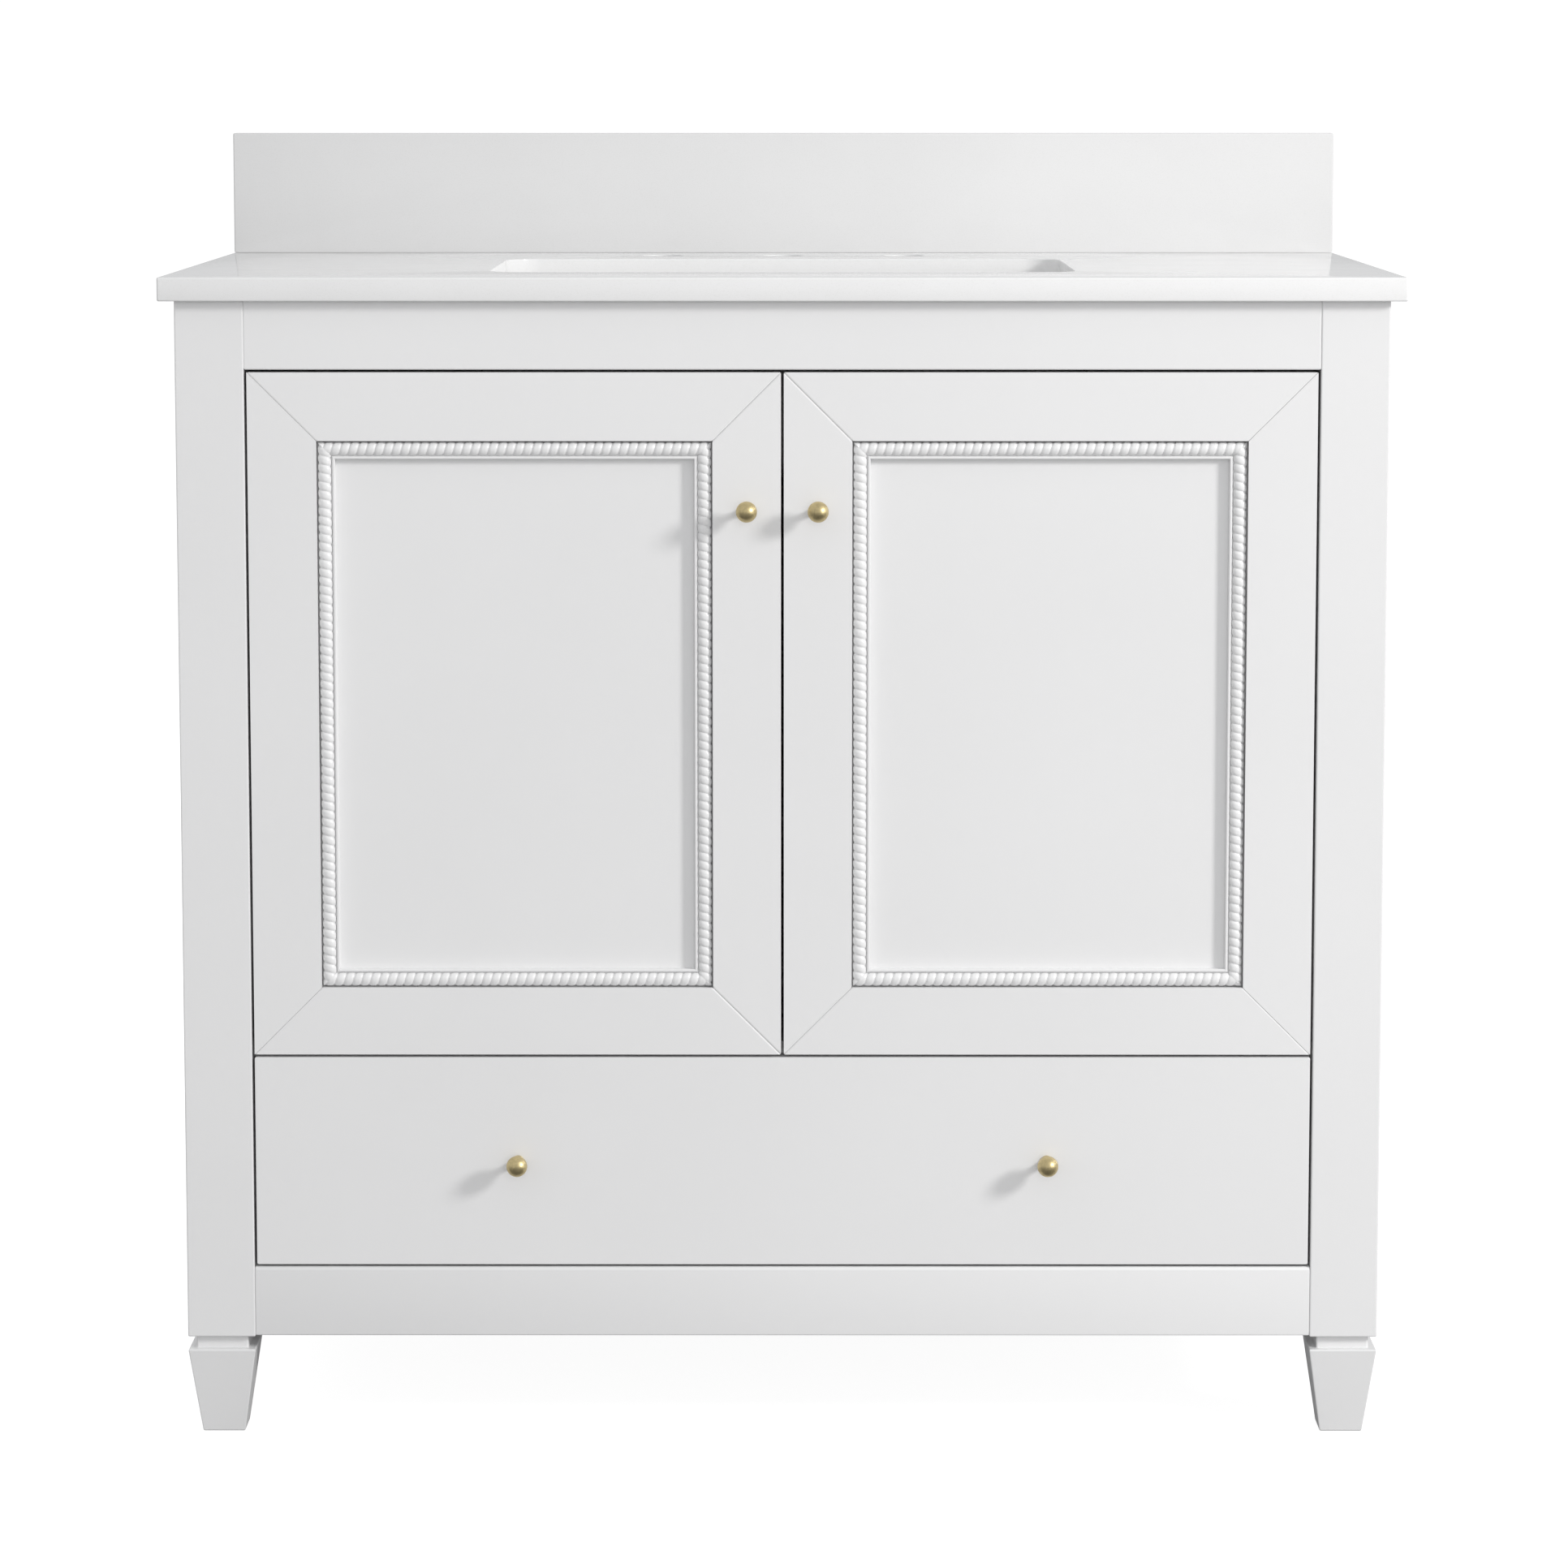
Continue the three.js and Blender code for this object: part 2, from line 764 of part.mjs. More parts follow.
const slideZ = boxBottom + slideLift;
const slideFront = doorBack + slideStart;
const slideMember = (section) =>
  prism(
    section.map(([u, v]) => [-legInner + u, slideZ + v]),
    "y",
    slideFront,
    boxBack,
  );
const middleWeb = slideSheet + slidePlay;
const middleHeight = slideHeight - 2 * middleWeb;
const drawerMemberHeight = middleHeight - 2 * (slideSheet + slideBallRoom);
const slideInner = slideWidth - slideSheet; // the outer face of the drawer member's web
const cabinetSection = channel(0, slideInner - slideShort, slideHeight);
const middleSection = channel(middleWeb, slideInner - slidePlay, middleHeight);
const drawerSection = channel(slideWidth, middleWeb + slideSheet + slidePlay, drawerMemberHeight);
addPair("slide_cabinet_member", slideMember(cabinetSection), steel);
addPair("slide_middle_member", slideMember(middleSection), steel);
addPair("slide_drawer_member", slideMember(drawerSection), steel);

export default vanity;
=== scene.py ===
"""Looks of the bathroom vanity: materials, eased edges, carved moulding, knobs, top, bowl and fixings.

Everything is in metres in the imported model's frame: +Z up, the front faces -Y.
"""
import math

import bmesh
import bpy
from mathutils import Matrix, Vector


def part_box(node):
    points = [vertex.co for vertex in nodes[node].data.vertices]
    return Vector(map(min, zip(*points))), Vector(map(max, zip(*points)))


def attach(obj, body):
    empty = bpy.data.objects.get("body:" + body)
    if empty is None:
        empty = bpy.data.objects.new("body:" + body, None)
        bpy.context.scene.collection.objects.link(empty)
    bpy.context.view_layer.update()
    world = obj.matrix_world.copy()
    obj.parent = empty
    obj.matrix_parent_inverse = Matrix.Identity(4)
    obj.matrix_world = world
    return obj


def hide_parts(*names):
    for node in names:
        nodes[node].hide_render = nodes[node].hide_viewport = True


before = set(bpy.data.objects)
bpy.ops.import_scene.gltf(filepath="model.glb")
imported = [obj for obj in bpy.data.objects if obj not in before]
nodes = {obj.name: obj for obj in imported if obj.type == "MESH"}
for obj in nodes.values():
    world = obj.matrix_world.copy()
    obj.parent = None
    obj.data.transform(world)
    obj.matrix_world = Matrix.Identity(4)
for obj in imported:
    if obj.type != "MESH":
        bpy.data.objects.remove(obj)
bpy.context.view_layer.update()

MM = 0.001
SIDES = (("left", -1), ("right", 1))
EAST = Vector((1, 0, 0))
BACK = Vector((0, 1, 0))
NORTH = Vector((0, 0, 1))
scene = bpy.context.scene


# ------------------------------------------------------------------ camera, world and light
CAMERA_PLACE = (0.0062, -4.0812, 1.0435)
CAMERA_DOWN = 6.741  # degrees below level
CAMERA_TURN = 0.074  # degrees to the left
CAMERA_SENSOR = 36.0
CAMERA_LENS = 116.31
CAMERA_SHIFT = -0.07

# Brightness of the studio from straight down (0) over the horizon (0.5) to straight up (1).
STUDIO_STOPS = ((0.0, 0.12), (0.42, 0.2), (0.5, 0.62), (0.70, 0.72), (1.0, 0.60))
STUDIO_TINT = (0.985, 0.99, 1.0)

# Name, place, point it shines at, diameter, watts, colour, whether gloss mirrors it.
WHITE = (1.0, 1.0, 1.0)
LIGHTS = (
    ("key", (3.3, -2.3, 2.1), (0.0, -0.2, 0.5), 0.8, 100.0, (1.0, 0.99, 0.98), True),
    ("front", (0.4, -5.4, 1.3), (0.0, -0.2, 0.4), 2.2, 45.0, WHITE, False),
    ("back", (-1.8, 3.4, 1.8), (0.0, 0.2, 0.5), 2.4, 46.0, WHITE, False),
)


def place_camera():
    data = bpy.data.cameras.new("camera")
    data.sensor_width = CAMERA_SENSOR
    data.lens = CAMERA_LENS
    data.shift_y = CAMERA_SHIFT
    camera = bpy.data.objects.new("camera", data)
    camera.location = CAMERA_PLACE
    camera.rotation_euler = (math.radians(90 - CAMERA_DOWN), 0.0, math.radians(CAMERA_TURN))
    scene.collection.objects.link(camera)
    scene.camera = camera


def area_light(name, place, target, size, power, colour, in_gloss):
    """A round soft light that shines at a point; the camera never sees it directly."""
    data = bpy.data.lights.new(name, "AREA")
    data.shape = "DISK"
    data.size = size
    data.energy = power
    data.color = colour
    light = bpy.data.objects.new(name, data)
    light.location = place
    light.rotation_euler = (Vector(target) - light.location).to_track_quat("-Z", "Y").to_euler()
    light.visible_camera = False
    light.visible_glossy = in_gloss
    scene.collection.objects.link(light)


def studio_world():
    """An even pale studio that is a little dimmer overhead and dim towards the floor."""
    world = bpy.data.worlds.new("studio")
    scene.world = world
    world.use_nodes = True
    tree = world.node_tree
    background = tree.nodes["Background"]
    background.inputs["Strength"].default_value = 1.0
    coordinates = tree.nodes.new("ShaderNodeTexCoord")
    parts = tree.nodes.new("ShaderNodeSeparateXYZ")
    tree.links.new(coordinates.outputs["Generated"], parts.inputs["Vector"])
    height = tree.nodes.new("ShaderNodeMapRange")
    height.inputs["From Min"].default_value = -1.0
    height.inputs["From Max"].default_value = 1.0
    tree.links.new(parts.outputs["Z"], height.inputs["Value"])
    ramp = tree.nodes.new("ShaderNodeValToRGB")
    elements = ramp.color_ramp.elements
    while len(elements) < len(STUDIO_STOPS):
        elements.new(0.5)
    for element, (position, level) in zip(elements, STUDIO_STOPS):
        element.position = position
        element.color = (*(level * channel for channel in STUDIO_TINT), 1.0)
    tree.links.new(height.outputs["Result"], ramp.inputs["Fac"])
    tree.links.new(ramp.outputs["Color"], background.inputs["Color"])


place_camera()
scene.view_settings.view_transform = "Standard"
studio_world()
for light_settings in LIGHTS:
    area_light(*light_settings)


# ------------------------------------------------------------------ node helpers for materials
class Look:
    """A material whose principled shader is fed by small node chains."""

    def __init__(self, name, base, roughness, **sockets):
        self.material = bpy.data.materials.new(name)
        self.material.use_nodes = True
        self.tree = self.material.node_tree
        self.shader = self.tree.nodes["Principled BSDF"]
        self.shader.inputs["Base Color"].default_value = (*base, 1.0)
        self.shader.inputs["Roughness"].default_value = roughness
        for socket, value in sockets.items():
            self.shader.inputs[socket.replace("_", " ")].default_value = value
        self.material.diffuse_color = (*base, 1.0)
        coordinates = self.tree.nodes.new("ShaderNodeTexCoord")
        self.place = coordinates.outputs["Object"]
        self.base = base

    def node(self, kind, settings=(), **sockets):
        """A new node. A socket's value is either a constant or another node's output."""
        made = self.tree.nodes.new(kind)
        for key, value in dict(settings).items():
            setattr(made, key, value)
        for socket, value in sockets.items():
            entry = made.inputs[socket.replace("_", " ")]
            if isinstance(value, bpy.types.NodeSocket):
                self.tree.links.new(value, entry)
            else:
                entry.default_value = value
        return made

    def stretched(self, scale):
        return self.node("ShaderNodeMapping", Vector=self.place, Scale=scale).outputs["Vector"]

    def noise(self, scale, detail=2.0, roughness=0.5, distortion=0.0, place=None):
        made = self.node(
            "ShaderNodeTexNoise",
            Vector=place or self.place,
            Scale=scale,
            Detail=detail,
            Roughness=roughness,
            Distortion=distortion,
        )
        return made.outputs["Fac"]

    def ramp(self, value, stops):
        made = self.node("ShaderNodeValToRGB", Fac=value)
        elements = made.color_ramp.elements
        while len(elements) < len(stops):
            elements.new(0.5)
        for element, (position, colour) in zip(elements, stops):
            element.position = position
            element.color = (*colour, 1.0)
        return made.outputs["Color"]

    def mottle(self, value, *stops):
        """The base colour times a factor at each stop of a noise."""
        return self.ramp(value, [(position, self.tinted(factor)) for position, factor in stops])

    def tinted(self, factor):
        return tuple(min(1.0, channel * factor) for channel in self.base)

    def spread(self, value, low, high, start=0.3, end=0.7):
        sockets = {"From_Min": start, "From_Max": end, "To_Min": low, "To_Max": high}
        return self.node("ShaderNodeMapRange", Value=value, **sockets).outputs["Result"]

    def bump(self, height, distance, strength=1.0, under=None):
        sockets = {"Height": height, "Distance": distance, "Strength": strength}
        if under is not None:
            sockets["Normal"] = under
        return self.node("ShaderNodeBump", **sockets).outputs["Normal"]

    def feed(self, socket, value):
        self.tree.links.new(value, self.shader.inputs[socket])


# ------------------------------------------------------------------ materials
# Sockets of a mix node that are used when it mixes colours.
MIX_FACTOR = 0
MIX_FIRST = 6
MIX_SECOND = 7
MIX_RESULT = 2


def paint_look():
    """Sprayed satin lacquer: a faint orange peel, a little long-wave unevenness in its sheen."""
    look = Look("paint_lacquer", (0.80, 0.80, 0.802), 0.42, Coat_Weight=0.35, Coat_Roughness=0.2)
    look.feed("Base Color", look.mottle(look.noise(2.2, 3.0), (0.35, 0.985), (0.65, 1.012)))
    look.feed("Roughness", look.spread(look.noise(26.0, 3.0), 0.37, 0.47))
    peel = look.bump(look.noise(620.0, 1.0), 0.02 * MM, 0.7)
    look.feed("Normal", look.bump(look.noise(55.0, 2.0), 0.02 * MM, 0.5, peel))
    return look.material


def stone_look(name, shade):
    """Polished engineered stone: fine pale grit under a clear gloss."""
    look = Look(name, (shade, shade, shade), 0.1, Coat_Weight=0.2, Coat_Roughness=0.04)
    cloud = look.mottle(look.noise(7.0, 5.0, 0.6, 0.6), (0.3, 0.985), (0.55, 1.0), (0.75, 1.012))
    grit = look.ramp(look.noise(900.0, 2.0), [(0.36, (0.975, 0.975, 0.97)), (0.44, WHITE)])
    mixed = look.node("ShaderNodeMix", {"data_type": "RGBA", "blend_type": "MULTIPLY"})
    mixed.inputs[MIX_FACTOR].default_value = 1.0
    look.tree.links.new(cloud, mixed.inputs[MIX_FIRST])
    look.tree.links.new(grit, mixed.inputs[MIX_SECOND])
    look.feed("Base Color", mixed.outputs[MIX_RESULT])
    look.feed("Roughness", look.spread(look.noise(14.0, 3.0), 0.08, 0.12))
    return look.material


def glaze_look():
    """Vitreous china: a thick clear glaze that lies in very soft waves."""
    look = Look("china_glaze", (0.87, 0.87, 0.865), 0.22, Coat_Weight=1.0, Coat_Roughness=0.03)
    look.feed("Base Color", look.mottle(look.noise(4.0, 2.0), (0.3, 0.985), (0.7, 1.01)))
    look.feed("Normal", look.bump(look.noise(34.0, 2.0), 0.12 * MM, 0.5))
    return look.material


def brass_look():
    """Satin brass under a thin lacquer, with fine turning marks and an uneven tarnish."""
    coat = {"Coat_Weight": 0.1, "Coat_Roughness": 0.5}
    look = Look("brass_satin", (0.69, 0.57, 0.31), 0.44, Metallic=1.0, **coat)
    tarnish = look.noise(230.0, 2.0, 0.5, 1.5)
    look.feed("Base Color", look.mottle(tarnish, (0.3, 0.86), (0.7, 1.08)))
    turned = look.noise(1.0, 2.0, place=look.stretched((300.0, 5000.0, 300.0)))
    look.feed("Roughness", look.spread(turned, 0.4, 0.5))
    swirl = look.bump(look.noise(240.0, 1.0, 0.5, 1.5), 0.25 * MM, 0.4)
    look.feed("Normal", look.bump(turned, 0.01 * MM, 0.35, swirl))
    return look.material


def steel_look():
    """Bright zinc plate with a light cloudy grain from the rolled strip."""
    look = Look("steel_zinc", (0.60, 0.61, 0.62), 0.28, Metallic=1.0)
    look.feed("Base Color", look.mottle(look.noise(90.0, 4.0, 0.6), (0.3, 0.9), (0.7, 1.08)))
    rolled = look.noise(1.0, 3.0, place=look.stretched((1800.0, 60.0, 1800.0)))
    look.feed("Roughness", look.spread(rolled, 0.22, 0.4))
    look.feed("Normal", look.bump(rolled, 0.01 * MM, 0.3))
    return look.material


def timber_look(name, scale):
    """Clear-lacquered birch, its grain long in the direction of the smallest scale."""
    light = (0.66, 0.50, 0.32)
    mid = (0.60, 0.44, 0.27)
    dark = (0.47, 0.32, 0.18)
    fine = 9
    look = Look(name, mid, 0.4, Coat_Weight=0.3, Coat_Roughness=0.25)
    figure = look.noise(1.0, 6.0, 0.62, 1.4, look.stretched(scale))
    look.feed("Base Color", look.ramp(figure, [(0.30, dark), (0.46, mid), (0.66, light)]))
    fibre = look.noise(1.0, 2.0, 0.5, 0.0, look.stretched(tuple(fine * size for size in scale)))
    look.feed("Roughness", look.spread(figure, 0.34, 0.5))
    look.feed("Normal", look.bump(fibre, 0.04 * MM, 0.4))
    return look.material


LOOKS = {
    "paint": paint_look(),
    "stone": stone_look("stone_polished", 0.83),
    # The backsplash gets a copy of the same stone painted darker (0.74 against 0.83): painted shade
    # that tones down the key light on the upright face, not a different stone.
    "stone_upright_painted_shade": stone_look("stone_upright_painted_shade", 0.74),
    "glaze": glaze_look(),
    "brass": brass_look(),
    "steel": steel_look(),
    "timber_x": timber_look("birch_across", (3.0, 55.0, 55.0)),
    "timber_y": timber_look("birch_deep", (55.0, 3.0, 55.0)),
}


# ------------------------------------------------------------------ pieces from meshes
def piece(name, bm, slot, body, smooth_angle, replaced=(), look=None):
    """Turn a bmesh into a piece that rides a body. Edges below the angle, in degrees, are smooth."""
    bmesh.ops.recalc_face_normals(bm, faces=bm.faces)
    for face in bm.faces:
        face.smooth = True
    for edge in bm.edges:
        flat = edge.calc_face_angle(0.0) < math.radians(smooth_angle)
        edge.smooth = len(edge.link_faces) == 2 and flat
    mesh = bpy.data.meshes.new(name)
    bm.to_mesh(mesh)
    bm.free()
    mesh.materials.append(LOOKS[look or slot])
    obj = bpy.data.objects.new(name, mesh)
    scene.collection.objects.link(obj)
    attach(obj, body)
    if replaced:
        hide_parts(*replaced)


def new_ring(bm, points):
    return [bm.verts.new(point) for point in points]


def ring_faces(bm, rings, closed=False):
    """Quads between rings of vertices, all the same length."""
    count = len(rings[0])
    pairs = list(zip(rings, rings[1:]))
    if closed:
        pairs.append((rings[-1], rings[0]))
    for low, high in pairs:
        for i in range(count):
            j = (i + 1) % count
            bm.faces.new((low[i], low[j], high[j], high[i]))


def fan(bm, ring, tip):
    """Triangles from a ring to one vertex."""
    for i in range(len(ring)):
        bm.faces.new((ring[i], ring[(i + 1) % len(ring)], tip))


def circle(centre, radius, count):
    """Points of a circle, anticlockwise."""
    turns = [2 * math.pi * i / count for i in range(count)]
    return [
        (centre[0] + radius * math.cos(turn), centre[1] + radius * math.sin(turn)) for turn in turns
    ]


def rounded_outline(centre, half_x, half_y, radius, steps):
    """Points of a rectangle with round corners, anticlockwise."""
    points = []
    for quarter in range(4):
        sign_x = 1 if quarter in (0, 3) else -1
        sign_y = 1 if quarter in (0, 1) else -1
        for step in range(steps + 1):
            turn = (quarter + step / steps) * math.pi / 2
            x = centre[0] + sign_x * (half_x - radius) + radius * math.cos(turn)
            y = centre[1] + sign_y * (half_y - radius) + radius * math.sin(turn)
            points.append((x, y))
    return points


def quarter_round(radius, steps):
    """A convex quarter: (how far in from the side, how far down from the top)."""
    turns = [step / steps * math.pi / 2 for step in range(steps + 1)]
    return [(radius * (1 - math.sin(turn)), radius * (1 - math.cos(turn))) for turn in turns]


def plan_box(node):
    """Centre and half size of a node's box seen from above, and its two heights."""
    low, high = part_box(node)
    centre = ((low[0] + high[0]) / 2, (low[1] + high[1]) / 2)
    half = ((high[0] - low[0]) / 2, (high[1] - low[1]) / 2)
    return centre, half, low[2], high[2]


# ------------------------------------------------------------------ carried solids
EASED = {"paint": 1.1 * MM, "steel": 0.22 * MM, "timber": 0.8 * MM}
EASE_SEGMENTS = {"paint": 3, "steel": 2, "timber": 3}
LEAST_EASED_ANGLE = 35  # degrees between two faces
WELD_DISTANCE = 0.005 * MM
ACROSS = ("drawer_box_front", "drawer_back", "drawer_bottom")


def carry(name, obj):
    """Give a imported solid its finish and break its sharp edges."""
    slot = obj.material_slots[0].material.name.split(".")[0]
    look = slot
    if slot == "timber":
        look = "timber_x" if name in ACROSS else "timber_y"
    for entry in obj.material_slots:
        entry.material = LOOKS[look]
    if slot in EASED:
        weld = obj.modifiers.new("weld", "WELD")
        weld.merge_threshold = WELD_DISTANCE
        bevel = obj.modifiers.new("ease", "BEVEL")
        bevel.width = EASED[slot]
        bevel.segments = EASE_SEGMENTS[slot]
        bevel.limit_method = "ANGLE"
        bevel.angle_limit = math.radians(LEAST_EASED_ANGLE)
        bevel.harden_normals = False


for node_name, node_object in nodes.items():
    carry(node_name, node_object)


# ------------------------------------------------------------------ countertop
TOP_CORNER = 1.5 * MM
TOP_EASE = 1.3 * MM
CUTOUT_RIM = 28 * MM  # how far the cut-out lies inside the bowl's outer edge
CUTOUT_CORNER = 28 * MM
CUTOUT_EASE = 0.8 * MM
FAUCET_FROM_SPLASH = 72.8 * MM
FAUCET_PITCH = 101.6 * MM
FAUCET_RADIUS = 17.5 * MM
FAUCET_EASE = 0.4 * MM
TOP_CORNER_STEPS = 5
CUTOUT_CORNER_STEPS = 16
FAUCET_SIDES = 64
ARRIS_STEPS = 4


def countertop():
    """A slab with one outer edge and four holes, all with eased arrises."""
    centre, half, bottom, top = plan_box("countertop")
    bowl_centre, bowl_half, _, _ = plan_box("sink_bowl")
    mouth_centre = (0.0, bowl_centre[1])
    mouth_half = (bowl_half[0] - CUTOUT_RIM, bowl_half[1] - CUTOUT_RIM)
    faucet_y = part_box("backsplash")[0][1] - FAUCET_FROM_SPLASH

    def outer(grow):
        size = (half[0] + grow, half[1] + grow)
        return rounded_outline(centre, *size, TOP_CORNER + grow, TOP_CORNER_STEPS)

    def mouth(grow):
        size = (mouth_half[0] - grow, mouth_half[1] - grow)
        return rounded_outline(mouth_centre, *size, CUTOUT_CORNER - grow, CUTOUT_CORNER_STEPS)

    def faucet_hole(side):
        place = (side * FAUCET_PITCH, faucet_y)
        return lambda grow: circle(place, FAUCET_RADIUS - grow, FAUCET_SIDES)

    loops = [(outer, TOP_EASE), (mouth, CUTOUT_EASE)]
    loops += [(faucet_hole(side), FAUCET_EASE) for side in (-1, 0, 1)]
    bm = bmesh.new()
    caps = {0: [], -1: []}
    for loop, radius in loops:
        rounded = quarter_round(radius, ARRIS_STEPS)
        profile = [(inward, top - down) for inward, down in rounded]
        profile += [(inward, bottom + down) for inward, down in rounded[::-1]]
        rings = [new_ring(bm, [(x, y, z) for x, y in loop(-inward)]) for inward, z in profile]
        ring_faces(bm, rings)
        for end in caps:
            ring = rings[end]
            caps[end] += [bm.edges.get((ring[i], ring[i - 1])) for i in range(len(ring))]
    for edges in caps.values():
        bmesh.ops.triangle_fill(bm, edges=edges, use_beauty=True, use_dissolve=False)
    piece("stone_top", bm, "stone", "cabinet", 30, ("countertop",))


countertop()


# ------------------------------------------------------------------ sink bowl
BOWL_DEPTH = 145 * MM
BOWL_WALL = 8 * MM
BOWL_OUTSIDE_DROP = 2 * MM  # the outside lies this much below the inside
BOWL_CORNER_STEPS = 16
MOUTH_CORNER = 31 * MM
RIM_WIDTH = 25 * MM
RIM_THICKNESS = 10 * MM
RIM_EASE = 1.2 * MM
RIM_FILLET = 3 * MM
DRAIN_RADIUS = 22.5 * MM
DRAIN_FLANGE = 12 * MM

# Inside wall: (height above the floor, how far it has come in, corner radius), in mm.
BOWL_INSIDE = (
    (145, 0, 31), (143.6, 0.1, 31), (120, 1.2, 31.5), (95, 2.6, 33), (75, 3.9, 34), (60, 5, 35),
    (48, 6.0, 37), (38, 7.2, 40), (30, 8.7, 43), (23, 10.9, 46), (17, 14.0, 49), (12.2, 18.2, 52),
    (8.8, 23.5, 54.5), (6.2, 31, 57), (4.6, 40, 59), (3.4, 52, 61), (2.4, 66, 60), (1.5, 82, 50),
)


def sink_bowl():
    """One closed skin: inside wall, drain throat, outside wall and mounting rim."""
    centre, rim_half, underside, top = plan_box("sink_bowl")
    mouth_half = (rim_half[0] - RIM_WIDTH, rim_half[1] - RIM_WIDTH)
    floor = top - BOWL_DEPTH
    rim_bottom = top - RIM_THICKNESS
    bm = bmesh.new()

    def wall_ring(come, radius, z):
        size = (mouth_half[0] - come, mouth_half[1] - come)
        outline = rounded_outline(centre, *size, radius, BOWL_CORNER_STEPS)
        return new_ring(bm, [(x, y, z) for x, y in outline])

    def rim_ring(grow, z):
        return wall_ring(-grow, MOUTH_CORNER + grow, z)

    def drain_ring(radius, z):
        """A circle whose points match those of the wall's rounded outline."""
        points = []
        for quarter in range(4):
            for step in range(BOWL_CORNER_STEPS + 1):
                turn = (quarter + step / BOWL_CORNER_STEPS) * math.pi / 2
                x = centre[0] + radius * math.cos(turn)
                y = centre[1] + radius * math.sin(turn)
                points.append((x, y, z))
        return new_ring(bm, points)

    inner = [
        wall_ring(come * MM, radius * MM, floor + up * MM) for up, come, radius in BOWL_INSIDE
    ]
    outer = [
        wall_ring(
            come * MM - BOWL_WALL,
            radius * MM + BOWL_WALL,
            floor + up * MM - BOWL_OUTSIDE_DROP,
        )
        for up, come, radius in BOWL_INSIDE[4:-1]
    ]
    throat = [
        drain_ring(DRAIN_RADIUS + 2.2 * MM, floor + 0.5 * MM),
        drain_ring(DRAIN_RADIUS + 0.8 * MM, floor + 0.1 * MM),
        drain_ring(DRAIN_RADIUS + 0.1 * MM, floor - 0.9 * MM),
        drain_ring(DRAIN_RADIUS, floor - 2.0 * MM),
        drain_ring(DRAIN_RADIUS, underside + 1.0 * MM),
        drain_ring(DRAIN_RADIUS + 1.0 * MM, underside),
        drain_ring(DRAIN_RADIUS + DRAIN_FLANGE, underside),
    ]
    rim = [
        rim_ring(BOWL_WALL, rim_bottom - RIM_FILLET),
        rim_ring(BOWL_WALL + RIM_FILLET, rim_bottom),
        rim_ring(RIM_WIDTH - RIM_EASE, rim_bottom),
        rim_ring(RIM_WIDTH, rim_bottom + RIM_EASE),
        rim_ring(RIM_WIDTH, top - RIM_EASE),
        rim_ring(RIM_WIDTH - RIM_EASE, top),
    ]
    ring_faces(bm, inner + throat + outer[::-1] + rim, closed=True)
    bmesh.ops.remove_doubles(bm, verts=bm.verts, dist=0.002 * MM)
    piece("china_bowl", bm, "glaze", "cabinet", 50, ("sink_bowl",))


sink_bowl()


# ------------------------------------------------------------------ long eased bars
BAR_ROUND_STEPS = 8
BAR_END_STEPS = 3


def eased_bar(name, node, slot, rounds, end_ease, look=None):
    """A bar along X. `rounds` are the radii of its top front, top back, bottom back and bottom
    front arrises."""
    low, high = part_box(node)
    corners = ((low[1], high[2]), (high[1], high[2]), (high[1], low[2]), (low[1], low[2]))
    signs = ((-1, 1), (1, 1), (1, -1), (-1, -1))
    runs_back = (False, True, False, True)

    def section(pull):
        """The outline, pulled in all round by `pull`."""
        outline = []
        for (y, z), (sign_y, sign_z), radius, reverse in zip(corners, signs, rounds, runs_back):
            points = []
            for step in range(BAR_ROUND_STEPS + 1):
                turn = step / BAR_ROUND_STEPS * math.pi / 2
                from_side = radius * (math.cos(turn) - 1) - pull
                from_top = radius * (math.sin(turn) - 1) - pull
                points.append((y + sign_y * from_side, z + sign_z * from_top))
            outline += points[::-1] if reverse else points
        return outline

    bm = bmesh.new()
    rounded = quarter_round(end_ease, BAR_END_STEPS)
    stations = [(low[0] + down, inward) for inward, down in rounded]
    stations += [(high[0] - down, inward) for inward, down in rounded[::-1]]
    rings = [new_ring(bm, [(x, y, z) for y, z in section(pull)]) for x, pull in stations]
    ring_faces(bm, rings)
    bm.faces.new(rings[0])
    bm.faces.new(rings[-1])
    piece(name, bm, slot, "cabinet", 35, (node,), look)


# The rail under the drawer has a larger round along its top front edge.
RAIL_ROUNDS = (2.7 * MM, 1.1 * MM, 1.1 * MM, 1.1 * MM)
SPLASH_ROUNDS = (1.2 * MM, 1.2 * MM, 0.1 * MM, 0.35 * MM)

eased_bar("bottom_rail", "front_bottom_rail", "paint", RAIL_ROUNDS, 1.1 * MM)
# The splash takes the darker copy of the stone; its lower shade is painted shade.
eased_bar("stone_splash", "backsplash", "stone", SPLASH_ROUNDS, 1.2 * MM, "stone_upright_painted_shade")


# ------------------------------------------------------------------ rope moulding
ROPE_PITCH = 6.6 * MM
ROPE_START = 0.8 * MM  # from the frame's edge
ROPE_WIDTH = 10.5 * MM
ROPE_SPRING = 5.5 * MM  # depth behind the frame's face where the round starts
ROPE_CREST = 1.0 * MM  # depth of its highest point
ROPE_VALLEY = 1.05 * MM  # how much deeper the grooves between two strands are
ROPE_VALLEY_SHAPE = 3.2  # the higher, the narrower the grooves
ROPE_LEAN = 3.5 * MM  # how far a strand leans over the moulding's width
ROPE_SPACING = 0.55 * MM  # between two cross-sections
ROPE_STEPS = 22
ROPE_SPARE = 2  # cross-sections beyond each mitre
LIP_GAP = 0.4 * MM
LIP_WIDTH = 2.1 * MM
LIP_DEPTH = 3.5 * MM
LIP_EASE = 0.35 * MM
PANEL_DEPTH = 10.0 * MM


